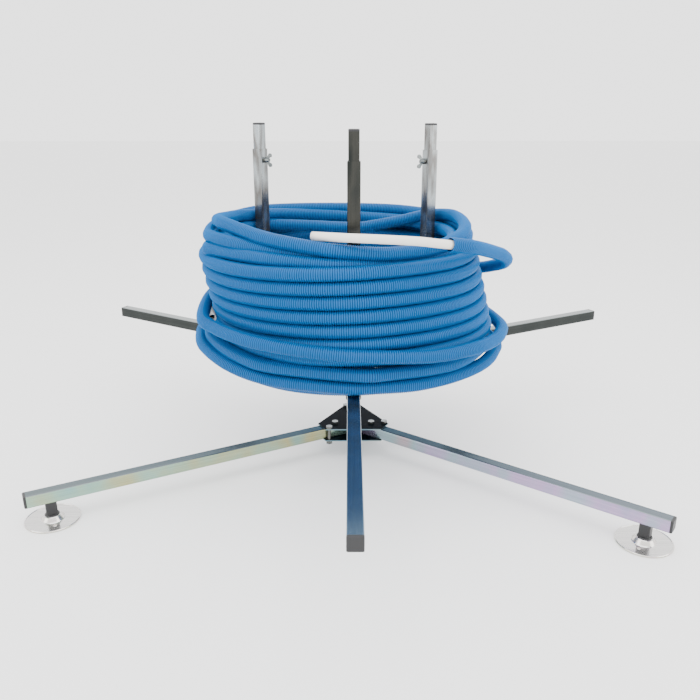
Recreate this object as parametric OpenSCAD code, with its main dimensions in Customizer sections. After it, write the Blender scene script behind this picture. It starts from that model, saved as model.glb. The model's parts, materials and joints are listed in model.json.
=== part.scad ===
// Pipe decoiler: a floor stand of square steel tube with a turntable of three arms.
// Three telescopic posts on the arms hold a coil of corrugated conduit by its inside.
// Millimetres, +Z up. The origin is on the turntable's axis at the floor.

/* [Square tubes] */
// Outside width of the leg, arm and outer post tubes
tube_w = 30; // [28:0.5:32]
// Outside width of the inner post tubes
inner_w = 25; // [24:0.5:25.5]
// Wall of every square tube
wall = 2; // [1.5:0.25:2.25]

/* [Legs and feet] */
// Height of the underside of the legs above the floor
leg_z = 49; // [46:1:60]
// End radius of each leg, with its cap
leg_end = 866; // [840:1:900]
// Radius at which the feet stand
foot_r = 809; // [780:1:820]
// Directions that the legs are set to: left, right and back
leg_az = [208, 322.6, 90]; // [0:0.1:360]
// Diameter of a foot disc
disc_d = 126; // [110:1:130]
// Height of the top of the pressed collar
collar_h = 14; // [12:0.5:16]
// Distance between the two screw holes of a foot disc
screw_pcd = 76; // [70:1:90]

/* [Hub plates] */
// Distance from the centre to each long edge of a plate
plate_in = 69; // [66:1:72]
// Distance from the centre to each cut corner of a plate
plate_cut = 100; // [98:1:104]
// Thickness of a plate
plate_t = 3; // [3:0.5:4]
// Radius of the bolts that the legs and arms hang on
pivot_r = 58; // [56:1:60]

/* [Turntable] */
// Height of the underside of the arms above the floor
arm_z = 252; // [248:1:260]
// End radius of each arm, with its cap
arm_end = 887; // [860:1:900]
// Directions of the arms: front, right and left
arm_az = [269.6, 27.6, 148.5]; // [0:0.1:360]
// Diameter of the fixed axle
axle_d = 20; // [18:1:20]
// Diameter of the column that carries the turntable
column_d = 35; // [32:1:36]

/* [Posts] */
// Distance of each post from the axis: front, right and left
post_r = [240, 230, 294]; // [200:1:295]
// Height of the top of the outer posts
outer_top = 810; // [780:1:820]
// Height of the top of the inner posts, with their caps
inner_top = 877; // [860:1:900]
// Length of an inner post tube
inner_len = 500; // [450:10:540]
// Height of the wing bolts on the posts
lock_z = 781; // [770:1:790]
// Span of a wing bolt
wing_span = 36; // [32:1:40]

/* [Coil] */
// Outside diameter of the corrugated conduit
conduit_d = 33; // [28:0.5:34]
// Outside diameter of the pipe inside the conduit
pipe_d = 20; // [18:1:22]
// Height of the top of the coil
coil_top = 640; // [600:1:642]
// Height at which the loose lower turns end
loose_top = 375; // [360:1:390]
// Inside radius of the tight turns
tight_in = 300; // [300:1:306]
// Outside radius of the tight turns
tight_out = 360; // [356:1:364]
// Inside radius of the loose lower turns
loose_in = 312; // [312:1:325]
// Outside radius of the loose lower turns
loose_out = 408; // [400:1:412]

/* [Hidden] */
$fn = 48;

zinc = "#c9ccc8";
black = "#1c1d1f";
conduit_blue = "#1482d7";
pipe_white = "#e9e7e1";

corner_r = 3;
slack = 0.3;
bore_r = tube_w / 2 - wall;
leg_top = leg_z + tube_w;
hub_gap = 0.2;
hub_under = leg_z - hub_gap - plate_t;
hub_over = leg_top + hub_gap + plate_t;
hub_bolt = hub_over - hub_under + 10;
arm_top = arm_z + tube_w;
tube_inner_end = 24;
cap_flange = 6;
cap_plug = 15;
post_cap_flange = 5;

bolt_d = 10;
bolt_head_af = 16;
bolt_head_h = 6.4;
nut_h = 8;
bolt_fit = 0.1;
leg_corners = [210, 330, 90];
stop_along = 88;
stop_side = tube_w / 2 + bolt_d / 2 + slack;
arm_lock_r = 86;

axle_fit = 0.05;
bush_d = 25;
bush_flange_d = 36;
bush_flange_h = 3;
bush_len = 15;
column_top = arm_z - plate_t - bush_flange_h - 0.1;
rotor_top = arm_top + plate_t;
washer_z = rotor_top + bush_flange_h + 0.1;
washer_h = 3;
axle_nut_h = 14;
axle_foot_h = 4;

lock_d = 8;
lock_fit = 0.1;
weld_nut_h = 6;
slider_wall = 3;
slider_gap = 0.3;
slider_in = 35;
slider_w = tube_w + 2 * (slider_gap + slider_wall);
slider_bottom = arm_z - slider_gap - slider_wall;
slider_top = arm_top + slider_gap + slider_wall;
slider_lock_in = 10;

coil_xy = [-26, -5];
loose_xy = [-8, -2];

// The last turn comes off the coil's outside, rises and rounds the front to its cut end.
tail_route = [[234, 256, 461], [270, 236, 467], [296, 208, 472], [320, 176, 478], [342, 144, 485],
    [362, 104, 495], [378, 45, 513], [387, -20, 533], [384, -80, 556], [360, -137, 579], [328, -190, 597], [295, -243, 614], [265, -290, 628],
    [239, -318, 636], [213, -338, 643]];
// The pipe runs straight on out of the conduit, across the front of the coil.
pipe_route = [[213, -338, 643], [174, -348, 649], [137, -352, 653], [53, -348, 657], [-22, -325, 656],
    [-100, -285, 653]];

// A square with round corners.
module rounded_square(w, r) {
    square([w - 2 * r, w], center = true);
    square([w, w - 2 * r], center = true);
    for (x = [-1, 1], y = [-1, 1]) translate([x, y] * (w / 2 - r)) circle(r);
}

// A hexagon across flats.
module hexagon(across) { circle(d = across / cos(30), $fn = 6); }

// A square tube section.
module tube_section(w) {
    difference() {
        rounded_square(w, corner_r);
        square(w - 2 * wall, center = true);
    }
}

// A square tube that lies along +X from x0 to x1, with its underside at z0.
module lying_tube(x0, x1, z0) {
    translate([x0, 0, z0 + tube_w / 2]) rotate([90, 0, 90])
        linear_extrude(x1 - x0) tube_section(tube_w);
}

// A cap whose flange covers the end of a tube and whose plug fills its bore, along +Z.
module tube_cap(w, flange) {
    color(black) {
        translate([0, 0, -cap_plug]) linear_extrude(cap_plug) square(w - 2 * wall - 0.2, center = true);
        linear_extrude(flange - 1.5) rounded_square(w, corner_r);
        translate([0, 0, flange - 1.5]) linear_extrude(1.5, scale = 0.9) rounded_square(w, corner_r);
    }
}

// A hexagon bolt that hangs from its head at the origin, along -Z.
module hung_bolt(length) {
    linear_extrude(bolt_head_h) hexagon(bolt_head_af);
    translate([0, 0, -length]) cylinder(d = bolt_d, h = length + 0.01);
}

// A nut with its bottom at the origin.
module nut(af, height, bore) {
    difference() {
        linear_extrude(height) hexagon(af);
        translate([0, 0, -1]) cylinder(d = bore, h = height + 2);
    }
}

// Places that repeat around the hubs.
module at_pivots() { for (a = leg_corners) rotate(a) translate([pivot_r, 0, 0]) children(); }
module at_stops() { for (a = leg_corners) rotate(a) translate([stop_along, stop_side, 0]) children(); }
module at_arm_bolts() { for (a = arm_az, r = [pivot_r, arm_lock_r]) rotate(a) translate([r, 0, 0]) children(); }

// A triangle with cut corners, one of them pointing along +Y.
module plate_outline() {
    intersection() {
        circle(r = 2 * plate_in, $fn = 3);
        rotate(60) circle(r = 2 * plate_cut, $fn = 3);
    }
}

module hub_plate(turn, z, centre_d) {
    translate([0, 0, z]) linear_extrude(plate_t) difference() {
        rotate(turn) plate_outline();
        circle(d = centre_d);
        children();
    }
}

// ---------- base ----------
module base_plate(z) {
    color(zinc) hub_plate(90, z, axle_d) {
        at_pivots() circle(d = bolt_d);
        at_stops() circle(d = bolt_d);
    }
}

module base_bottom_plate() { base_plate(hub_under); }
module base_top_plate() { base_plate(hub_over - plate_t); }

module column_tube() {
    length = column_top - hub_over;
    color(zinc) translate([0, 0, hub_over]) difference() {
        cylinder(d = column_d, h = length);
        translate([0, 0, -1]) cylinder(d = column_d - 6, h = length + 2);
    }
}

module spindle_axle() {
    color(zinc) {
        translate([0, 0, hub_under - axle_foot_h]) cylinder(d = 34, h = axle_foot_h);
        translate([0, 0, hub_under]) cylinder(d = axle_d, h = washer_z + washer_h + axle_nut_h + 6 - hub_under);
    }
}

module axle_washer() {
    color(zinc) translate([0, 0, washer_z]) difference() {
        cylinder(d = 38, h = washer_h);
        translate([0, 0, -1]) cylinder(d = axle_d, h = washer_h + 2);
    }
}

module axle_nut() { color(zinc) translate([0, 0, washer_z + washer_h]) nut(30, axle_nut_h, axle_d); }

module leg_pivot_bolts() {
    color(zinc) at_pivots() translate([0, 0, hub_over]) hung_bolt(hub_bolt);
}

module leg_stop_bolts() {
    color(zinc) at_stops() translate([0, 0, hub_over]) hung_bolt(hub_bolt);
}

module base_nuts() {
    color(zinc) translate([0, 0, hub_under - nut_h]) {
        at_pivots() nut(bolt_head_af, nut_h, bolt_d);
        at_stops() nut(bolt_head_af, nut_h, bolt_d);
    }
}

// ---------- legs ----------
// Each leg turns about its pivot bolt, so it is drawn along +X from there.
module on_leg(i) {
    c = leg_corners[i];
    translate([pivot_r * cos(c), pivot_r * sin(c), 0]) rotate(leg_az[i]) translate([-pivot_r, 0, 0]) children();
}

module leg(i) {
    color(zinc) on_leg(i) difference() {
        union() {
            lying_tube(tube_inner_end, leg_end - cap_flange, leg_z);
            translate([pivot_r, 0, leg_z]) cylinder(d = 18, h = tube_w);
        }
        translate([pivot_r, 0, leg_z - 1]) cylinder(d = bolt_d + 2 * bolt_fit, h = tube_w + 2);
        translate([foot_r, 0, leg_z - 1]) cylinder(d = lock_d, h = wall + 2);
    }
}

module leg_cap(i) {
    on_leg(i) translate([leg_end - cap_flange, 0, leg_z + tube_w / 2]) rotate([90, 0, 90])
        tube_cap(tube_w, cap_flange);
}

// A black block between the pressed collar and the underside of the leg.
module foot_stem(i) {
    color(black) on_leg(i) translate([foot_r, 0, collar_h]) difference() {
        union() {
            linear_extrude(leg_z - collar_h) rounded_square(inner_w, corner_r);
            cylinder(d1 = 34, d2 = 30, h = 3);
        }
        translate([0, 0, -1]) cylinder(d = lock_d, h = leg_z - collar_h + 2);
    }
}

// A pressed steel disc with a rolled rim and a raised collar.
module foot_disc(i) {
    r = disc_d / 2;
    color(zinc) on_leg(i) translate([foot_r, 0, 0]) difference() {
        rotate_extrude($fn = 96) polygon([[lock_d / 2, collar_h], [18.5, collar_h], [20, collar_h - 1],
            [26, 4.5], [28, 3], [r - 3.5, 3], [r - 2.5, 4], [r - 1.2, 4], [r, 2.8], [r, 1], [r - 1, 0],
            [25.5, 0], [23.5, 2], [18, collar_h - 2.5], [lock_d / 2, collar_h - 2.5]]);
        for (s = [-1, 1]) translate([0, s * screw_pcd / 2, -1]) cylinder(d = 9, h = 5);
    }
}

// The bolt that holds disc, stem and leg together, with its nut inside the leg.
module foot_bolt(i) {
    color(zinc) on_leg(i) translate([foot_r, 0, 0]) {
        translate([0, 0, collar_h - 2.5 - 5.3]) linear_extrude(5.3) hexagon(13);
        translate([0, 0, collar_h - 2.6]) cylinder(d = lock_d, h = leg_z + wall + 9 - collar_h);
        translate([0, 0, leg_z + wall]) linear_extrude(6.5) hexagon(13);
    }
}

// ---------- turntable ----------
module rotor_plate(z) {
    color(zinc) hub_plate(30, z, bush_d) at_arm_bolts() circle(d = bolt_d);
}

module rotor_bottom_plate() { rotor_plate(arm_z - plate_t); }
module rotor_top_plate() { rotor_plate(arm_top); }

module rotor_hub_tube() {
    color(zinc) translate([0, 0, arm_z]) difference() {
        cylinder(d = 40, h = tube_w);
        translate([0, 0, -1]) cylinder(d = bush_d, h = tube_w + 2);
    }
}

// A flanged bush with its flange below and its sleeve upward.
module bush() {
    color(black) difference() {
        union() {
            cylinder(d = bush_flange_d, h = bush_flange_h);
            cylinder(d = bush_d, h = bush_flange_h + bush_len);
        }
        translate([0, 0, -1]) cylinder(d = axle_d + 2 * axle_fit, h = bush_flange_h + bush_len + 2);
    }
}

module lower_bush() { translate([0, 0, arm_z - plate_t - bush_flange_h]) bush(); }
module upper_bush() { translate([0, 0, rotor_top + bush_flange_h]) mirror([0, 0, 1]) bush(); }

module arm(i) {
    color(zinc) rotate(arm_az[i]) difference() {
        lying_tube(tube_inner_end, arm_end - cap_flange, arm_z);
        for (r = [pivot_r, arm_lock_r]) translate([r, 0, arm_z - 1]) cylinder(d = bolt_d, h = tube_w + 2);
    }
}

module arm_caps() {
    for (a = arm_az) rotate(a) translate([arm_end - cap_flange, 0, arm_z + tube_w / 2]) rotate([90, 0, 90])
        tube_cap(tube_w, cap_flange);
}

module arm_bolts() {
    color(zinc) at_arm_bolts() translate([0, 0, rotor_top]) hung_bolt(tube_w + 2 * plate_t + nut_h + 2);
}

module arm_nuts() {
    color(zinc) at_arm_bolts() translate([0, 0, arm_z - plate_t - nut_h]) nut(bolt_head_af, nut_h, bolt_d);
}

// ---------- posts ----------
module on_arm(i) { rotate(arm_az[i]) translate([post_r[i], 0, 0]) children(); }

// The sleeve that slides along an arm and carries a post above it.
module slider(i) {
    length = slider_in + tube_w / 2;
    color(zinc) on_arm(i) difference() {
        translate([-slider_in, 0, slider_bottom + slider_w / 2]) rotate([90, 0, 90])
            linear_extrude(length) difference() {
                rounded_square(slider_w, corner_r);
                square(tube_w + 2 * slider_gap, center = true);
            }
        translate([-slider_lock_in, 0, slider_bottom - 1]) cylinder(d = lock_d + 2 * lock_fit, h = slider_wall + 2);
    }
}

module outer_post(i) {
    color(zinc) on_arm(i) difference() {
        translate([0, 0, slider_top]) linear_extrude(outer_top - slider_top) tube_section(tube_w);
        translate([-tube_w / 2 - 1, 0, lock_z]) rotate([0, 90, 0]) cylinder(d = lock_d + 2 * lock_fit, h = wall + 2);
    }
}

// The threaded collars that are welded on for the two wing bolts of a post.
module weld_nuts(i) {
    color(zinc) on_arm(i) {
        translate([-tube_w / 2 - weld_nut_h, 0, lock_z]) rotate([0, 90, 0]) threaded_collar();
        translate([-slider_lock_in, 0, slider_bottom - weld_nut_h]) threaded_collar();
    }
}

module threaded_collar() {
    difference() {
        cylinder(d = 15, h = weld_nut_h);
        translate([0, 0, -1]) cylinder(d = lock_d + 2 * lock_fit, h = weld_nut_h + 2);
    }
}

module inner_post(i) {
    color(zinc) on_arm(i) translate([0, 0, inner_top - post_cap_flange - inner_len])
        linear_extrude(inner_len) tube_section(inner_w);
}

module post_cap(i) {
    on_arm(i) translate([0, 0, inner_top - post_cap_flange]) tube_cap(inner_w, post_cap_flange);
}

// A wing bolt along -Z, with the underside of its collar at the origin and its tip at -reach.
module wing_bolt(reach) {
    color(zinc) {
        translate([0, 0, -reach]) cylinder(d = lock_d, h = reach + 0.01);
        cylinder(d1 = 13, d2 = 10, h = 9);
        rotate([90, 0, 0]) linear_extrude(3.2, center = true) for (s = [0, 1]) mirror([s, 0, 0]) {
            polygon([[0, 1], [5, 1], [wing_span / 2 - 2, 8], [wing_span / 2 - 7, 16], [4, 8], [0, 8]]);
            translate([wing_span / 2 - 5.5, 12]) circle(r = 5.5);
        }
    }
}

module post_lock(i) {
    reach = weld_nut_h + wall + (tube_w - 2 * wall - inner_w) / 2 + 0.5 - slack;
    on_arm(i) translate([-tube_w / 2 - weld_nut_h - 0.5, 0, lock_z]) rotate([0, -90, 0]) wing_bolt(reach);
}

module slider_lock(i) {
    reach = weld_nut_h + slider_wall + slider_gap + 0.5 - 0.2;
    on_arm(i) translate([-slider_lock_in, 0, slider_bottom - weld_nut_h - 0.5]) rotate([180, 0, 0]) wing_bolt(reach);
}

// ---------- coil ----------
module ring(centre, r_in, r_out, z0, z1) {
    color(conduit_blue) translate(concat(centre, [z0])) rotate_extrude($fn = 120)
        translate([r_in, 0]) square([r_out - r_in, z1 - z0]);
}

module conduit_coil() { ring(coil_xy, tight_in, tight_out, loose_top, coil_top); }
module conduit_lower_turns() { ring(loose_xy, loose_in, loose_out, arm_top, loose_top); }

// Catmull-Rom points along a route, with its ends doubled.
function pad(p) = concat([2 * p[0] - p[1]], p, [2 * p[len(p) - 1] - p[len(p) - 2]]);
function spline(a, b, c, d, t) = 0.5 * (2 * b + (c - a) * t + (2 * a - 5 * b + 4 * c - d) * t * t
    + (3 * b - a - 3 * c + d) * t * t * t);
function smooth(p, n) = let (q = pad(p)) concat(
    [for (i = [1:len(q) - 3], k = [0:n - 1]) spline(q[i - 1], q[i], q[i + 1], q[i + 2], k / n)],
    [p[len(p) - 1]]);
function unit(v) = v / norm(v);
function along(p, i) = unit(p[min(i + 1, len(p) - 1)] - p[max(i - 1, 0)]);
function tube_ring(p, i, r, sides) = let (t = along(p, i), s = unit(cross(t, [0, 0, 1])), u = cross(s, t))
    [for (k = [0:sides - 1]) p[i] + r * (cos(360 * k / sides) * s + sin(360 * k / sides) * u)];

// A round tube swept along a route.
module swept_tube(route, r, sides, steps) {
    p = smooth(route, steps);
    n = len(p);
    points = [for (i = [0:n - 1]) each tube_ring(p, i, r, sides)];
    walls = [for (i = [0:n - 2], k = [0:sides - 1]) let (a = i * sides + k, b = i * sides + (k + 1) % sides)
        each [[a, a + sides, b], [b, a + sides, b + sides]]];
    first = [for (k = [0:sides - 1]) k];
    last = [for (k = [sides - 1:-1:0]) (n - 1) * sides + k];
    polyhedron(points, concat(walls, [first, last]), convexity = 6);
}

module conduit_tail() { color(conduit_blue) swept_tube(tail_route, conduit_d / 2, 12, 3); }
module inner_pipe() { color(pipe_white) swept_tube(pipe_route, pipe_d / 2, 12, 2); }

base_bottom_plate();
base_top_plate();
column_tube();
spindle_axle();
axle_washer();
axle_nut();
leg_pivot_bolts();
leg_stop_bolts();
base_nuts();
leg(0);  // left_leg
leg_cap(0);  // left_leg_cap
foot_stem(0);  // left_foot_stem
foot_disc(0);  // left_foot_disc
foot_bolt(0);  // left_foot_bolt
leg(1);  // right_leg
leg_cap(1);  // right_leg_cap
foot_stem(1);  // right_foot_stem
foot_disc(1);  // right_foot_disc
foot_bolt(1);  // right_foot_bolt
leg(2);  // back_leg
leg_cap(2);  // back_leg_cap
foot_stem(2);  // back_foot_stem
foot_disc(2);  // back_foot_disc
foot_bolt(2);  // back_foot_bolt
rotor_bottom_plate();
rotor_top_plate();
rotor_hub_tube();
lower_bush();
upper_bush();
arm(0);  // front_arm
arm(1);  // right_arm
arm(2);  // left_arm
arm_caps();
arm_bolts();
arm_nuts();
slider(0);  // front_slider
slider(1);  // right_slider
slider(2);  // left_slider
outer_post(0);  // front_outer_post
outer_post(1);  // right_outer_post
outer_post(2);  // left_outer_post
weld_nuts(0);  // front_weld_nuts
weld_nuts(1);  // right_weld_nuts
weld_nuts(2);  // left_weld_nuts
inner_post(0);  // front_inner_post
inner_post(1);  // right_inner_post
inner_post(2);  // left_inner_post
post_cap(0);  // front_post_cap
post_cap(1);  // right_post_cap
post_cap(2);  // left_post_cap
post_lock(0);  // front_post_lock
post_lock(1);  // right_post_lock
post_lock(2);  // left_post_lock
slider_lock(0);  // front_slider_lock
slider_lock(1);  // right_slider_lock
slider_lock(2);  // left_slider_lock
conduit_coil();
conduit_lower_turns();
conduit_tail();
inner_pipe();
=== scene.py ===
"""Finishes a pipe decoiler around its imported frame: the coil of conduit with its pipe, the zinc
plated tubes, the plastic caps, and a plain studio to look at them in. Lengths are in metres, but
the points of the coil are worked out in millimetres, with their azimuths in degrees."""

import json
import math

import bmesh
import bpy
from bpy.props import FloatProperty, FloatVectorProperty, IntProperty
from mathutils import Matrix, Vector


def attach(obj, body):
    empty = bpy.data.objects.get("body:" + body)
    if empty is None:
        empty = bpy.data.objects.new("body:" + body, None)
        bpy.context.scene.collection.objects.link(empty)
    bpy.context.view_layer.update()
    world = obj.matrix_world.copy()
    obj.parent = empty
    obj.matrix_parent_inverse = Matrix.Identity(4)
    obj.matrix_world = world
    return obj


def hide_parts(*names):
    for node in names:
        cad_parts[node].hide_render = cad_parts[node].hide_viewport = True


bl_info = {
    "name": "Pipe Decoiler Builder",
    "version": (1, 0, 0),
    "blender": (4, 5, 0),
    "location": "View3D > Sidebar > Decoiler",
    "description": "Makes the coil, the finishes and the studio of a pipe decoiler",
    "category": "Object",
}

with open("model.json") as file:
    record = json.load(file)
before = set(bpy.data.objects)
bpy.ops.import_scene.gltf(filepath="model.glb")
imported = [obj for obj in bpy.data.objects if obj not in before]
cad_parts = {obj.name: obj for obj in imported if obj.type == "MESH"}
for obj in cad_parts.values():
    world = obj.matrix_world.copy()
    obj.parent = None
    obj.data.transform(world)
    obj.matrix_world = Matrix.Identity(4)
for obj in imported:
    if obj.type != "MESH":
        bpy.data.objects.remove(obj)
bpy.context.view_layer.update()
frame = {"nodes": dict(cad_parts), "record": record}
MM = 0.001
FULL_TURN = 360
HALF_TURN = 180
QUARTER_TURN = 90

# The centres of the coil's turns. The even rows lean to the left towards the top, by LEAN of their
# height above LEAN_FROM, and lie wider below SPREAD_FROM, by SPREAD of their depth under it.
COIL_Y = -5
CROWN_CENTRE = (-30, COIL_Y)
SKIRT_CENTRE = (-8, -2)
OUTER_CENTRE_X = -12.5
INNER_CENTRE_X = -15.5
LEAN_FROM = 445
LEAN = 0.2
SPREAD_FROM = 540
SPREAD = 0.022

# How far an even outer row stands above or below its own front, as (degrees turned after the
# right side, height), until it has come down to the row below.
ROW_DROP = [
    (0, -3), (34, -1), (56, 3), (71, 3), (90, 0), (105, -3), (139, -10), (170, -13), (225, -19),
    (270, -24), (360, -35.2),
]

# The first stretch, as (azimuth, radius, height): from the cut end of the pipe, beside the loose
# turns on the left, round the back and down to the arms, where the inner layer begins. The pipe
# is bare up to the knot with the index CONDUIT_FROM.
START = [
    (197, 366, 413), (186, 367, 410), (175, 369, 404), (165, 370, 396), (150, 368, 388),
    (135, 359, 378), (120, 342, 369), (108, 324, 354), (98, 308, 338), (85, 294, 322),
    (70, 287, 308), (50, 286, 299), (30, 287, 298), (0, 287, 298), (-30, 290, 298),
    (-60, 296, 298), (-90, 305, 298), (-120, 313, 298), (-150, 321, 298), (-180, 325, 298),
    (-210, 326, 298), (-240, 323, 299), (-270, 319, 303), (-300, 318, 311), (-330, 317, 321),
]
CONDUIT_FROM = 3

# The crossing over the opening and the three uneven turns on top of the coil.
CROWN = [
    (240, 318, 570), (215, 313, 580), (195, 310, 590), (168, 309, 600), (150, 308, 600),
    (136, 300, 598), (111, 254, 590), (94, 232, 587), (77, 226, 588), (65, 245, 595),
    (54, 272, 605), (38, 303, 627), (21, 312, 639), (8, 313, 638), (-10, 314, 634),
    (-25, 315, 626), (-41, 316, 619), (-55, 316, 615), (-71, 316, 616), (-84, 316, 622),
    (-98, 315, 630), (-122, 313, 644), (-148, 312, 657), (-162, 312, 656), (-176, 313, 648),
    (-192, 313, 639), (-210, 312, 632), (-241, 312, 618), (-269, 312, 607), (-303, 308, 603),
    (-320, 305, 601), (-340, 298, 600), (-360, 288, 600), (-385, 284, 600), (-410, 284, 602),
    (-435, 288, 604), (-458, 295, 608), (-475, 306, 614), (-487, 317, 620), (-500, 329, 626),
    (-515, 334, 624), (-530, 336, 618), (-550, 338, 621), (-570, 341, 628), (-593, 340, 631),
    (-629, 337, 626), (-661, 336, 626), (-690, 330, 622), (-720, 322, 611), (-750, 316, 599),
    (-765, 311, 592), (-777, 309, 589), (-791, 310, 590), (-804, 314, 594), (-818, 320, 597),
    (-842, 331, 603), (-868, 338, 600), (-884, 339, 594), (-930, 340, 595), (-953, 341, 594),
    (-990, 341, 589), (-1023, 340, 584), (-1050, 340, 581),
]

# The three loose turns around the foot of the coil, up to where the tail leaves them.
SKIRT = [
    (165, 346, 370), (150, 346, 358), (135, 346, 346), (120, 346, 339), (90, 346, 338),
    (60, 346, 346), (35, 346, 355), (15, 349, 357), (0, 354, 355), (-20, 359, 349),
    (-47, 358, 345), (-76, 351, 349), (-90, 352, 351), (-120, 359, 356), (-135, 366, 361),
    (-150, 369, 366), (-165, 370, 368), (-185, 370, 362), (-210, 374, 350), (-240, 379, 339),
    (-270, 379, 331), (-300, 380, 325), (-330, 384, 320), (-360, 388, 318), (-375, 382, 315),
    (-390, 372, 314), (-406, 356, 312), (-422, 346, 311), (-435, 341, 313), (-452, 341, 315),
    (-470, 345, 319), (-482, 353, 320), (-492, 367, 327), (-503, 380, 337), (-515, 390, 347),
    (-527, 394, 350), (-545, 395, 354), (-570, 398, 364), (-600, 399, 371), (-660, 399, 371),
    (-690, 399, 369), (-720, 399, 368), (-740, 399, 376), (-755, 398, 383), (-767, 395, 388),
    (-780, 385, 390), (-794, 377, 397), (-810, 372, 403), (-824, 375, 410), (-837, 382, 416),
    (-850, 388, 420), (-865, 391, 422), (-880, 392, 424), (-915, 391, 428), (-940, 389, 434),
    (-965, 386, 442), (-990, 382, 450), (-1015, 376, 459),
]

# The last stretch of conduit and the pipe that runs on out of it. They follow the frame's own
# routes, but here the conduit ends 11 mm further along.
TAIL_ROUTE = [
    (234, 256, 461), (270, 236, 467), (296, 208, 472), (320, 176, 478), (342, 144, 485),
    (362, 104, 495), (378, 45, 513), (387, -20, 533), (384, -80, 556), (360, -137, 579),
    (328, -190, 597), (295, -243, 614), (265, -290, 628), (239, -318, 636), (202, -341, 644),
]
PIPE_ROUTE = [
    (202, -341, 644), (174, -348, 648), (137, -352, 653), (53, -348, 657), (-22, -325, 656),
    (-100, -285, 653),
]

# The lines of the coil: a place on the pipe every PIPE_STEP, and on the curves between knots at
# least FEWEST_PARTS to a knot and about one every CURVE_STEP.
PIPE_STEP = 0.016
PIPE_SIDES = 16
CURVE_STEP = 0.004
FEWEST_PARTS = 4
CONDUIT_SIDES = 12
# A rib's four rings, as shares of its depth: its crest, its flank, the groove and the other flank.
RIB = (0.0, 0.35, 1.0, 0.65)
# The conduit's own start lies among the first places of its line.
START_PLACES = 2000
CONDUIT_PIECES = ["conduit_inner_rows", "conduit_inner_top_rows", "conduit_crown_turns",
                  "conduit_upper_rows", "conduit_lower_rows", "conduit_loose_turns"]
# The bore of the pipe at its ends, as a share of its width and as a length.
BORE_WIDTH = 0.8
BORE_DEPTH = 0.03

# The camera looks from a little left of the axis.
CAMERA_X = -0.022
CAMERA_TURN = math.radians(-0.41)
LENS = 37.54
SENSOR_WIDTH = 36.0
FLOOR_SIZE = 30.0
FLOOR_HEIGHT = -0.0005


class CoilSettings(bpy.types.PropertyGroup):
    """Sizes of the conduit, the pipe in it and the two even layers of the coil."""

    conduit_width: FloatProperty(name="Conduit width", description="Across the conduit's ribs",
                                 default=0.033, unit="LENGTH")
    rib_pitch: FloatProperty(name="Rib pitch", description="From one rib to the next",
                             default=0.005, unit="LENGTH")
    rib_depth: FloatProperty(name="Rib depth", description="Depth of the groove between two ribs",
                             default=0.0019, unit="LENGTH")
    pipe_width: FloatProperty(name="Pipe width", description="Outside diameter of the pipe",
                              default=0.020, unit="LENGTH")
    row_pitch: FloatProperty(name="Row pitch", description="From one row of the coil to the next",
                             default=0.0322, unit="LENGTH")
    outer_radius: FloatProperty(name="Outer layer", description="Radius of the outer layer's line",
                                default=0.3425, unit="LENGTH")
    inner_radius: FloatProperty(name="Inner layer", description="Radius of the inner layer's line",
                                default=0.318, unit="LENGTH")
    top_row: FloatProperty(name="Top even row", description="Height of the outer layer's top row",
                           default=0.581, unit="LENGTH")
    outer_rows: IntProperty(name="Outer rows", description="Even rows of the outer layer", default=7)
    inner_rows: IntProperty(name="Inner rows", description="Even rows of the inner layer", default=7)


class FinishSettings(bpy.types.PropertyGroup):
    """Colours of the finishes."""

    conduit_blue: FloatVectorProperty(name="Conduit", description="Colour of the conduit", size=3,
                                      subtype="COLOR", default=(0.0, 0.075, 0.29))
    pipe_white: FloatVectorProperty(name="Pipe", description="Colour of the pipe", size=3,
                                    subtype="COLOR", default=(0.80, 0.78, 0.72))
    plastic_black: FloatVectorProperty(name="Plastic", description="Colour of the caps and stems",
                                       size=3, subtype="COLOR", default=(0.006, 0.006, 0.007))


class StageSettings(bpy.types.PropertyGroup):
    """The floor, the lights and the camera."""

    floor_tone: FloatProperty(name="Floor", description="Lightness of the floor", default=0.9)
    camera_height: FloatProperty(name="Camera height", description="Height of the camera",
                                 default=0.9437, unit="LENGTH")
    camera_distance: FloatProperty(name="Camera distance", description="From the camera to the axis",
                                   default=1.8855, unit="LENGTH")
    camera_tilt: FloatProperty(name="Camera tilt", description="Angle of the view below level",
                               default=math.radians(19.18), subtype="ANGLE")
    key_power: FloatProperty(name="Overhead light", description="Power of the overhead light",
                             default=70.0, unit="POWER")
    side_power: FloatProperty(name="Side lights", description="Power of each side light",
                              default=34.0, unit="POWER")
    surroundings: FloatProperty(name="Surroundings", description="Strength of the white surroundings",
                                default=2.6)


# ---------- shader graphs ----------
class Value:
    """A socket whose number can be used in an expression."""

    def __init__(self, graph, socket):
        self.graph = graph
        self.socket = socket

    def maths(self, operation, a, b, clamp=False):
        settings = {"operation": operation, "use_clamp": clamp}
        return self.graph.node("ShaderNodeMath", settings, {0: a, 1: b})

    def __add__(self, other):
        return self.maths("ADD", self, other)

    def __radd__(self, other):
        return self.maths("ADD", other, self)

    def __sub__(self, other):
        return self.maths("SUBTRACT", self, other)

    def __rsub__(self, other):
        return self.maths("SUBTRACT", other, self)

    def __mul__(self, other):
        return self.maths("MULTIPLY", self, other)

    def __rmul__(self, other):
        return self.maths("MULTIPLY", other, self)

    def clamped(self):
        return self.maths("ADD", self, 0.0, clamp=True)


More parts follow.
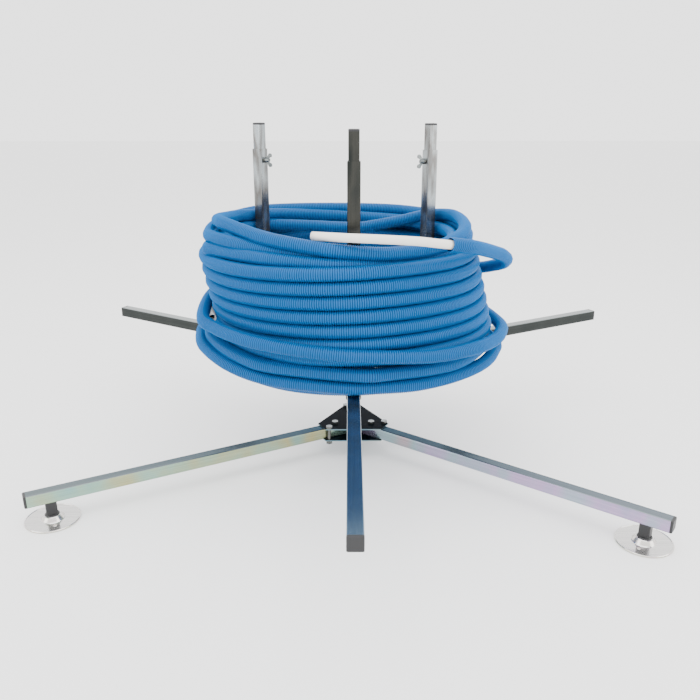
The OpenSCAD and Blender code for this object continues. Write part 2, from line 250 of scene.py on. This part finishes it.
class Graph:
    """One material's nodes."""

    def __init__(self, name):
        self.material = bpy.data.materials.new(name)
        self.material.use_nodes = True
        self.tree = self.material.node_tree
        self.shader = self.tree.nodes["Principled BSDF"]

    def node(self, kind, settings=None, values=None, output=0):
        made = self.tree.nodes.new(kind)
        for key, value in (settings or {}).items():
            if key == "stops":
                self.set_stops(made.color_ramp, value)
            else:
                setattr(made, key, value)
        for key, value in (values or {}).items():
            self.feed(made.inputs[key], value)
        return Value(self, made.outputs[output])

    def feed(self, socket, value):
        if isinstance(value, Value):
            self.tree.links.new(value.socket, socket)
        elif socket.type == "RGBA":
            socket.default_value = (*value, 1.0)
        else:
            socket.default_value = value

    def set_stops(self, ramp, stops):
        while len(ramp.elements) < len(stops):
            ramp.elements.new(1.0)
        for element, (place, colour) in zip(ramp.elements, stops):
            element.position = place
            element.color = (*colour, 1.0)

    def set(self, **values):
        for key, value in values.items():
            self.feed(self.shader.inputs[key.replace("_", " ")], value)

    def place(self, turn=0.0, stretch=(1, 1, 1)):
        """Object coordinates, turned about Z so that X runs along a member, and then stretched."""
        coordinates = self.node("ShaderNodeTexCoord", output=3)
        turned = self.node("ShaderNodeMapping",
                           values={"Vector": coordinates, "Rotation": (0, 0, -turn)})
        return self.node("ShaderNodeMapping", values={"Vector": turned, "Scale": stretch})

    def noise(self, where, scale, detail=2.0, rough=0.5):
        return self.node("ShaderNodeTexNoise", {"noise_dimensions": "3D"},
                         {"Vector": where, "Scale": scale, "Detail": detail, "Roughness": rough})

    def ramp(self, factor, stops):
        return self.node("ShaderNodeValToRGB", {"stops": stops}, {"Fac": factor})

    def mix(self, factor, a, b, blend="MIX"):
        return self.node("ShaderNodeMix", {"data_type": "RGBA", "blend_type": blend},
                         {0: factor, 6: a, 7: b}, output=2)

    def bump(self, height, strength, distance):
        return self.node("ShaderNodeBump", values={"Height": height, "Strength": strength,
                                                   "Distance": distance})

    def facing(self, axis):
        """How far the surface faces along an axis of the object, from -1 to 1."""
        normal = self.node("ShaderNodeNewGeometry", output=1)
        return self.part(normal, axis)

    def part(self, vector, axis):
        """The number that a vector has along an axis."""
        return self.node("ShaderNodeSeparateXYZ", values={"Vector": vector}, output="XYZ".index(axis))


def slot_of(name):
    """The material slot that the frame's record gives a node."""
    return next(part["material_slot"] for part in frame["record"]["subparts"] if part["node"] == name)


def dress(node_names, material):
    """Gives nodes of the frame a material, and looks up the slot that the frame's record gives each.
    """
    for name in node_names:
        mesh = frame["nodes"][name].data
        mesh.materials.clear()
        mesh.materials.append(material)
        slot_of(name)


def nodes_ending(*endings):
    return [name for name in frame["nodes"] if name.endswith(endings)]


# ---------- finishes ----------
def zinc_finish(name, turn, tints, top, rough=0.20, strip=9.0, lift=0.4, upright=False,
                far_painted_top=None, edge=(1.0, 1.0, 1.0)):
    """Bright zinc with passivation bands. Tints wander along the member, top is the colour painted on
    its upper faces in place of the plating, a painted shade where it is darker and a painted light
    where it is lighter, which fades into the far top colour at its outer end, strip is how close the
    bands follow one another, lift how much its worn streaks lighten, and edge tints its gleam at a low
    angle."""
    graph = Graph(name)
    band_stretch = (1.0, 1.0, 0.2) if upright else (1.0, 0.35, 0.35)
    streak_stretch = (60.0, 60.0, 0.6) if upright else (0.6, 60.0, 60.0)
    bands = graph.noise(graph.place(turn, band_stretch), strip, 1.5)
    streaks = graph.noise(graph.place(turn, streak_stretch), 6.0, 3.0, 0.6)
    blotch = graph.noise(graph.place(), 38.0, 3.0, 0.55)

    band_contrast, blotch_share = 1.7, 0.25
    along_tints = ((bands - 0.5) * band_contrast + 0.5 + (blotch - 0.5) * blotch_share).clamped()
    stops = [(i / (len(tints) - 1), tint) for i, tint in enumerate(tints)]
    plating = graph.ramp(along_tints, stops)

    # Painted shade and light by face orientation: the upper faces take the top colour in place of the
    # plating, fading into the far top colour from about 0.1 m to 0.9 m along the member.
    least_upward, upward_gain = 0.35, 2.2
    upward = ((graph.facing("Z") - least_upward) * upward_gain).clamped()
    fade_gain, fade_start = 1.25, 0.12
    outward = graph.part(graph.place(turn), "X") * fade_gain - fade_start
    upper = graph.mix(outward.clamped(), top, far_painted_top or top)
    shaded = graph.mix(upward, plating, upper)

    streak_grey, worn_white = (0.30, 0.31, 0.32), (0.86, 0.88, 0.88)
    worn = graph.mix((streaks * 0.55).clamped(), shaded, streak_grey, "MULTIPLY")
    graph.set(Base_Color=graph.mix((1 - streaks) * 0.25 * lift, worn, worn_white),
              Metallic=0.88,
              Specular_Tint=edge,
              Roughness=(rough + (streaks - 0.5) * 0.22 + (blotch - 0.5) * 0.12).clamped(),
              Normal=graph.bump(streaks + blotch * 0.4, 0.12, 0.0006))
    return graph.material


def plastic_finish():
    """Black moulded plastic with a fine grain and dull rubbed places."""
    graph = Graph("black_moulded_plastic")
    black = tuple(bpy.context.scene.decoiler_finish.plastic_black)
    rubbed_black = (0.03, 0.031, 0.034)
    grain = graph.noise(graph.place(), 900.0, 2.0)
    rub = graph.noise(graph.place(), 45.0, 3.0)
    graph.set(Base_Color=graph.mix((rub * 0.3).clamped(), black, rubbed_black),
              Roughness=(0.34 + rub * 0.25).clamped(),
              Normal=graph.bump(grain, 0.10, 0.0002))
    return graph.material


def conduit_finish():
    """Blue ribbed conduit: painted shade in its grooves and a painted highlight on its crests, satin
    on its ribs, with scuffs from handling.
    """
    graph = Graph("blue_corrugated_conduit")
    blue = tuple(bpy.context.scene.decoiler_finish.conduit_blue)
    deep_blue, groove_shade_blue, crest_highlight_blue = (0.0, 0.058, 0.23), (0.0, 0.006, 0.045), (0.0, 0.25, 0.60)
    groove = graph.node("ShaderNodeAttribute", {"attribute_name": "groove"}, output=2)
    tone = graph.noise(graph.place(), 7.0, 2.0)
    scuff = graph.noise(graph.place(), 260.0, 2.0)
    body = graph.mix(tone, deep_blue, blue)
    # Painted shade darkens the grooves by their depth, and a painted highlight lightens the crests.
    ribbed = graph.mix((groove * 0.9).clamped(), body, groove_shade_blue)
    crest = ((1 - groove) * 0.30).clamped()
    graph.set(Base_Color=graph.mix(crest, ribbed, crest_highlight_blue),
              Specular_IOR_Level=0.15,
              Roughness=(0.30 + scuff * 0.16).clamped(),
              Normal=graph.bump(scuff, 0.05, 0.0002))
    return graph.material


def pipe_finish():
    """Off-white smooth pipe, faintly clouded."""
    graph = Graph("white_pipe")
    white = tuple(bpy.context.scene.decoiler_finish.pipe_white)
    clouded_white = (0.66, 0.64, 0.59)
    cloud = graph.noise(graph.place(), 30.0, 3.0)
    graph.set(Base_Color=graph.mix((cloud * 0.5).clamped(), white, clouded_white),
              Roughness=(0.30 + cloud * 0.12).clamped(),
              Normal=graph.bump(cloud, 0.04, 0.0003))
    return graph.material


# ---------- coil ----------
def around(centre, azimuth, radius, height):
    """A point of the coil, in millimetres."""
    turn = math.radians(azimuth)
    return (centre[0] + radius * math.cos(turn), centre[1] + radius * math.sin(turn), height)


def spread(height):
    """How much wider the lower rows lie, which is all on the right."""
    return SPREAD * max(SPREAD_FROM - height, 0)


def leaning(height):
    """The centre of the outer layer's rows at a height."""
    return (OUTER_CENTRE_X - LEAN * (height - LEAN_FROM) + spread(height), COIL_Y)


def leaning_inside(height):
    """The centre of the inner layer's rows. Below LEAN_FROM they don't lean, because the left post
    stands against them."""
    return (INNER_CENTRE_X - LEAN * max(height - LEAN_FROM, 0), COIL_Y)


def inner_layer(coil):
    """Rows that climb at an even pitch, from the lowest one's right side to the top one's front."""
    pitch = coil.row_pitch / MM
    step = 20
    top = coil.top_row / MM - pitch / 2
    last = FULL_TURN * coil.inner_rows + QUARTER_TURN
    points = []
    for turned in range(0, last, step):
        height = top - pitch * (last - turned) / FULL_TURN
        points.append(around(leaning_inside(height), -turned, coil.inner_radius / MM, height))
    return points


def row_drop(turned):
    """The height that ROW_DROP gives at so many degrees after the right side."""
    spans = zip(ROW_DROP, ROW_DROP[1:])
    (a, high), (b, low) = next(span for span in spans if turned <= span[1][0])
    return high + (low - high) * (turned - a) / (b - a)


def outer_layer(coil):
    """Rows that come down as they go round, from the top one's right side to the last one's left."""
    step = 18
    last = FULL_TURN * coil.outer_rows - HALF_TURN
    points = []
    for turned in range(0, last, step):
        front = (coil.top_row - coil.row_pitch * (turned // FULL_TURN)) / MM
        height = front + row_drop(turned % FULL_TURN)
        radius = coil.outer_radius / MM + spread(height)
        points.append(around(leaning(height), -turned, radius, height))
    return points


def smooth_line(points, spacing):
    """A smooth curve through the points, as places an even distance apart."""
    ends = [2 * points[0] - points[1], *points, 2 * points[-1] - points[-2]]
    fine = []
    for a, b, c, d in zip(ends, ends[1:], ends[2:], ends[3:]):
        parts = max(FEWEST_PARTS, int((c - b).length / CURVE_STEP))
        for part in range(parts):
            t = part / parts
            fine.append(0.5 * (2 * b + (c - a) * t + (2 * a - 5 * b + 4 * c - d) * t ** 2
                               + (3 * b - a - 3 * c + d) * t ** 3))
    fine.append(points[-1])
    line, left = [fine[0]], spacing
    for p, q in zip(fine, fine[1:]):
        length = (q - p).length
        at = left
        while at <= length:
            line.append(p.lerp(q, at / length))
            at += spacing
        left = at - length
    return line


def swept(name, line, radii, sides):
    """A tube of round rings along a line, with one radius for each place. Its sides are an even
    number from 6 up."""
    curve = bpy.data.curves.new(name, "CURVE")
    curve.dimensions = "3D"
    curve.bevel_depth = 1.0
    curve.bevel_resolution = (sides - 4) // 2
    spline = curve.splines.new("POLY")
    spline.points.add(len(line) - 1)
    for point, place, radius in zip(spline.points, line, radii):
        point.co = (*place, 1.0)
        point.radius = radius
    bare = bpy.data.objects.new(name, curve)
    mesh = bpy.data.meshes.new_from_object(bare)
    bpy.data.objects.remove(bare)
    bpy.data.curves.remove(curve)
    mesh.name = name
    mesh.shade_smooth()
    piece = bpy.data.objects.new(name, mesh)
    bpy.context.scene.collection.objects.link(piece)
    return piece


def hollow_end(mesh, tip, before):
    """Turns the open edge at a tip inwards: a flat rim first, then a bore back in. Before is the
    place before the tip."""
    out = (tip - before).normalized()
    work = bmesh.new()
    work.from_mesh(mesh)
    near = 0.02
    rim = [edge for edge in work.edges
           if edge.is_boundary and (edge.verts[0].co - tip).length < near]
    for scale, shift in ((BORE_WIDTH, 0.0), (1.0, -BORE_DEPTH)):
        made = bmesh.ops.extrude_edge_only(work, edges=rim)["geom"]
        corners = [item for item in made if isinstance(item, bmesh.types.BMVert)]
        rim = [item for item in made if isinstance(item, bmesh.types.BMEdge)]
        bmesh.ops.scale(work, vec=(scale, scale, scale), space=Matrix.Translation(-tip), verts=corners)
        bmesh.ops.translate(work, vec=out * shift, verts=corners)
    bmesh.ops.recalc_face_normals(work, faces=work.faces)
    work.to_mesh(mesh)
    work.free()


def in_metres(points):
    return [Vector(point) * MM for point in points]


def coil_route(coil):
    """The whole route of the conduit, in millimetres."""
    start = [around(SKIRT_CENTRE, *knot) for knot in START]
    crown = [around(CROWN_CENTRE, *knot) for knot in CROWN]
    skirt = [around(SKIRT_CENTRE, *knot) for knot in SKIRT]
    return start + inner_layer(coil) + crown + outer_layer(coil) + skirt + TAIL_ROUTE[1:]


def nearest_index(line, place):
    return min(range(len(line)), key=lambda i: (line[i] - place).length_squared)


def make_pipe(coil):
    """The white pipe, whole: through all of the conduit and out of both of its ends."""
    line = smooth_line(in_metres(coil_route(coil) + PIPE_ROUTE[1:]), PIPE_STEP)
    pipe = swept("white_pipe", line, [coil.pipe_width / 2] * len(line), PIPE_SIDES)
    hollow_end(pipe.data, line[-1], line[-2])
    hollow_end(pipe.data, line[0], line[1])
    pipe.data.materials.append(pipe_finish())
    length = sum((b - a).length for a, b in zip(line, line[1:]))
    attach(pipe, "rotor")
    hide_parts("inner_pipe")
    return pipe, line, length


def ribbed_radii(count, coil):
    """The radii of so many rings of the conduit, beginning on a crest."""
    profile = [coil.conduit_width / 2 - share * coil.rib_depth for share in RIB]
    return [profile[i % len(RIB)] for i in range(count)]


def mark_grooves(piece):
    """Writes how deep in a groove each vertex lies, for the finish."""
    attribute = piece.data.attributes.new("groove", "FLOAT", "POINT")
    count = len(piece.data.vertices)
    depths = [RIB[i // CONDUIT_SIDES % len(RIB)] for i in range(count)]
    attribute.data.foreach_set("value", depths)


def make_conduit(coil):
    """The conduit in pieces that follow one another, ribbed right through."""
    line = smooth_line(in_metres(coil_route(coil)), coil.rib_pitch / len(RIB))
    mouth = Vector(around(SKIRT_CENTRE, *START[CONDUIT_FROM])) * MM
    line = line[nearest_index(line[:START_PLACES], mouth):]
    finish = conduit_finish()
    whole_ribs = len(line) // len(CONDUIT_PIECES) // len(RIB)
    share = whole_ribs * len(RIB)
    made = []
    for i, name in enumerate(CONDUIT_PIECES):
        last = len(line) if name == CONDUIT_PIECES[-1] else (i + 1) * share + 1
        part = line[i * share:last]
        piece = swept(name, part, ribbed_radii(len(part), coil), CONDUIT_SIDES)
        mark_grooves(piece)
        piece.data.materials.append(finish)
        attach(piece, "rotor")
        made.append(piece)
    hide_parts("conduit_coil")
    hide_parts("conduit_lower_turns", "conduit_tail")
    return made


class DECOILER_OT_coil(bpy.types.Operator):
    """Winds the pipe and the conduit around it"""

    bl_idname = "decoiler.coil"
    bl_label = "Coil"

    def execute(self, context):
        coil = context.scene.decoiler_coil
        pipe, line, length = make_pipe(coil)
        conduit = make_conduit(coil)
        return {"FINISHED"}


# ---------- the frame's own pieces ----------
# Colours painted on upper faces in place of the plating: the grey, leg and plate tops are painted
# shade, darker than their plating; the arm top and the pale top are painted light, lighter than
# theirs. The two edges tint the gleam.
GREY_TOP_PAINTED_SHADE = (0.20, 0.24, 0.28)
LEG_TOP_PAINTED_SHADE = (0.02, 0.045, 0.07)
LEG_EDGE = (0.35, 0.45, 0.52)
ARM_TOP_PAINTED_LIGHT = (0.20, 0.22, 0.22)
PLATE_TOP_PAINTED_SHADE = (0.012, 0.036, 0.052)
PLATE_EDGE = (0.06, 0.14, 0.20)
PALE_TOP_PAINTED_LIGHT = (0.66, 0.70, 0.70)


class DECOILER_OT_legs(bpy.types.Operator):
    """Plates the legs: blue-green to straw on the left, lilac on the right"""

    bl_idname = "decoiler.legs"
    bl_label = "Legs"

    def execute(self, context):
        straw = [(0.14, 0.36, 0.38), (0.26, 0.42, 0.32), (0.40, 0.37, 0.16), (0.17, 0.38, 0.36)]
        lilac = [(0.20, 0.32, 0.42), (0.42, 0.29, 0.50), (0.26, 0.39, 0.42), (0.42, 0.33, 0.36)]
        grey = [(0.45, 0.56, 0.60), (0.60, 0.62, 0.62), (0.62, 0.60, 0.52)]
        # The legs' upper faces are painted dark as painted shade, fading outward into a lighter
        # painted shade.
        left = zinc_finish("zinc_left_leg", math.radians(208), straw, LEG_TOP_PAINTED_SHADE,
                           far_painted_top=(0.16, 0.18, 0.18), edge=LEG_EDGE)
        right = zinc_finish("zinc_right_leg", math.radians(322.6), lilac, LEG_TOP_PAINTED_SHADE,
                            far_painted_top=(0.17, 0.19, 0.21), edge=LEG_EDGE)
        back = zinc_finish("zinc_back_leg", math.radians(90), grey, GREY_TOP_PAINTED_SHADE)
        dress(["left_leg"], left)
        dress(["right_leg"], right)
        dress(["back_leg"], back)
        return {"FINISHED"}


class DECOILER_OT_arms(bpy.types.Operator):
    """Plates the three arms of the turntable"""

    bl_idname = "decoiler.arms"
    bl_label = "Arms"

    def execute(self, context):
        steel_blue = [(0.30, 0.40, 0.46), (0.46, 0.52, 0.56), (0.40, 0.50, 0.56)]
        dark = [(0.012, 0.016, 0.015), (0.024, 0.028, 0.026), (0.017, 0.020, 0.019)]
        # The front arm's upper faces are painted darker blue, a painted shade; the side arms' upper
        # faces are painted lighter than their dark plating, a painted light.
        blue_top_painted_shade = (0.055, 0.125, 0.20)
        front = zinc_finish("zinc_front_arm", math.radians(269.6), steel_blue, blue_top_painted_shade)
        right = zinc_finish("zinc_right_arm", math.radians(27.6), dark, ARM_TOP_PAINTED_LIGHT, lift=0.1)
        left = zinc_finish("zinc_left_arm", math.radians(148.5), dark, ARM_TOP_PAINTED_LIGHT, lift=0.1)
        dress(["front_arm"], front)
        dress(["right_arm"], right)
        dress(["left_arm"], left)
        return {"FINISHED"}


class DECOILER_OT_posts(bpy.types.Operator):
    """Plates the posts with their sliders"""

    bl_idname = "decoiler.posts"
    bl_label = "Posts"

    def execute(self, context):
        light = [(0.20, 0.235, 0.27), (0.12, 0.11, 0.10), (0.36, 0.39, 0.40), (0.17, 0.21, 0.26)]
        dark = [(0.016, 0.020, 0.019), (0.05, 0.05, 0.044), (0.022, 0.026, 0.026)]
        # Their upper faces are painted pale in place of the plating, a painted light.
        for side, tints, lift in (("front", dark, 0.0), ("right", light, 0.25), ("left", light, 0.25)):
            finish = zinc_finish("zinc_" + side + "_post", 0.0, tints, PALE_TOP_PAINTED_LIGHT, strip=42.0, lift=lift,
                                 upright=True)
            dress([side + "_slider", side + "_outer_post", side + "_inner_post"], finish)
        return {"FINISHED"}


class DECOILER_OT_hub(bpy.types.Operator):
    """Plates the hub plates, the column and the fasteners"""

    bl_idname = "decoiler.hub"
    bl_label = "Hub and fasteners"

    def execute(self, context):
        teal = [(0.10, 0.22, 0.30), (0.20, 0.30, 0.34), (0.28, 0.34, 0.30)]
        # The plates' upper faces are painted dark teal, a painted shade.
        plate = zinc_finish("zinc_hub_plates", 0.6, teal, PLATE_TOP_PAINTED_SHADE, strip=20.0, lift=0.0,
                            edge=PLATE_EDGE)
        dress(nodes_ending("_plate"), plate)
        silver = [(0.45, 0.50, 0.52), (0.62, 0.64, 0.62)]
        # The round parts' upper faces are painted pale, a painted light.
        dress(["column_tube", "rotor_hub_tube"], zinc_finish("zinc_round_parts", 0.0, silver, PALE_TOP_PAINTED_LIGHT))
        steel = [(0.08, 0.10, 0.11), (0.17, 0.17, 0.15), (0.10, 0.11, 0.12)]
        # The fasteners' upper faces are painted lighter than their plating, a painted light.
        bright = zinc_finish("zinc_fasteners", 0.3, steel, (0.26, 0.28, 0.29), rough=0.16, strip=60.0,
                             lift=0.1)
        fasteners = ("bolt", "nut", "washer", "axle")
        dress([name for name in frame["nodes"] if any(word in name for word in fasteners)], bright)
        cast = [(0.09, 0.11, 0.12), (0.22, 0.23, 0.22)]
        # The wing bolts' upper faces are painted lighter than their plating, a painted light.
        wings = zinc_finish("zinc_wing_bolts", 0.3, cast, (0.20, 0.22, 0.23), rough=0.14, strip=80.0,
                            lift=0.1)
        dress(nodes_ending("_lock"), wings)
        return {"FINISHED"}


class DECOILER_OT_feet(bpy.types.Operator):
    """Plates the pressed discs and moulds the caps, stems and bushes"""

    bl_idname = "decoiler.feet"
    bl_label = "Discs and plastic"

    def execute(self, context):
        rainbow = [(0.66, 0.66, 0.70), (0.80, 0.70, 0.66), (0.80, 0.79, 0.62), (0.62, 0.72, 0.72)]
        # The discs' upper faces are painted one pale colour in place of the bands, a painted light.
        disc = zinc_finish("zinc_discs", 0.0, rainbow, (0.74, 0.72, 0.70), rough=0.18, strip=26.0)
        dress(nodes_ending("_disc"), disc)
        dress(nodes_ending("_cap", "_caps", "_stem", "_bush"), plastic_finish())
        return {"FINISHED"}


# ---------- stage ----------
def make_camera(stage):
    data = bpy.data.cameras.new("camera")
    data.lens = LENS
    data.sensor_width = SENSOR_WIDTH
    camera = bpy.data.objects.new("camera", data)
    bpy.context.scene.collection.objects.link(camera)
    camera.location = (CAMERA_X, -stage.camera_distance, stage.camera_height)
    camera.rotation_euler = (math.radians(QUARTER_TURN) - stage.camera_tilt, 0.0, CAMERA_TURN)
    bpy.context.scene.camera = camera


def make_light(name, place, aim, size, power):
    """A rectangular light of a width and height, turned towards the point that it aims at."""
    data = bpy.data.lights.new(name, "AREA")
    data.shape = "RECTANGLE"
    data.size, data.size_y = size
    data.energy = power
    light = bpy.data.objects.new(name, data)
    bpy.context.scene.collection.objects.link(light)
    light.location = place
    light.rotation_euler = (Vector(aim) - Vector(place)).to_track_quat("-Z", "Y").to_euler()


def make_floor(stage):
    bpy.ops.mesh.primitive_plane_add(size=FLOOR_SIZE, location=(0, 0, FLOOR_HEIGHT))
    floor = bpy.context.object
    floor.name = "floor"
    graph = Graph("pale_floor")
    mottle = graph.noise(graph.place(), 3.0, 2.0)
    tone = stage.floor_tone
    plain, mottled = (tone, tone, tone), (tone * 0.99, tone * 0.99, tone * 0.985)
    graph.set(Base_Color=graph.mix(mottle, plain, mottled), Roughness=0.8)
    floor.data.materials.append(graph.material)


def make_world(stage):
    world = bpy.data.worlds.new("studio")
    bpy.context.scene.world = world
    world.use_nodes = True
    background = world.node_tree.nodes["Background"]
    background.inputs["Color"].default_value = (1.0, 1.0, 1.0, 1.0)
    background.inputs["Strength"].default_value = stage.surroundings


class DECOILER_OT_stage(bpy.types.Operator):
    """Sets up the camera, the pale floor and the soft lights"""

    bl_idname = "decoiler.stage"
    bl_label = "Stage"

    def execute(self, context):
        stage = context.scene.decoiler_stage
        make_camera(stage)
        make_floor(stage)
        make_world(stage)
        make_light("overhead", place=(0.0, -0.4, 3.2), aim=(0, 0, 0.3), size=(3.0, 3.0),
                   power=stage.key_power)
        make_light("left_side", place=(-2.8, -1.6, 1.6), aim=(0, 0, 0.4), size=(1.6, 2.2),
                   power=stage.side_power)
        make_light("right_side", place=(2.8, -1.4, 1.5), aim=(0, 0, 0.4), size=(1.6, 2.2),
                   power=stage.side_power)
        return {"FINISHED"}


class DECOILER_PT_panel(bpy.types.Panel):
    """Lists the steps of the decoiler"""

    bl_label = "Decoiler"
    bl_idname = "DECOILER_PT_panel"
    bl_space_type = "VIEW_3D"
    bl_region_type = "UI"
    bl_category = "Decoiler"

    def draw(self, context):
        for step in STEPS:
            self.layout.operator(step.bl_idname)
        for group in GROUPS:
            settings = getattr(context.scene, group)
            for name in settings.bl_rna.properties.keys():
                if name not in ("rna_type", "name"):
                    self.layout.prop(settings, name)


STEPS = [DECOILER_OT_stage, DECOILER_OT_coil, DECOILER_OT_legs, DECOILER_OT_arms, DECOILER_OT_posts,
         DECOILER_OT_hub, DECOILER_OT_feet]
GROUPS = {"decoiler_coil": CoilSettings, "decoiler_finish": FinishSettings,
          "decoiler_stage": StageSettings}


def register():
    for kind in (*GROUPS.values(), *STEPS, DECOILER_PT_panel):
        bpy.utils.register_class(kind)
    for name, group in GROUPS.items():
        setattr(bpy.types.Scene, name, bpy.props.PointerProperty(type=group))


def unregister():
    for name in GROUPS:
        delattr(bpy.types.Scene, name)
    for kind in reversed((*GROUPS.values(), *STEPS, DECOILER_PT_panel)):
        bpy.utils.unregister_class(kind)


def main():
    register()
    bpy.ops.decoiler.stage()
    bpy.ops.decoiler.coil()
    bpy.ops.decoiler.legs()
    bpy.ops.decoiler.arms()
    bpy.ops.decoiler.posts()
    bpy.ops.decoiler.hub()
    bpy.ops.decoiler.feet()


if __name__ == "__main__":
    main()
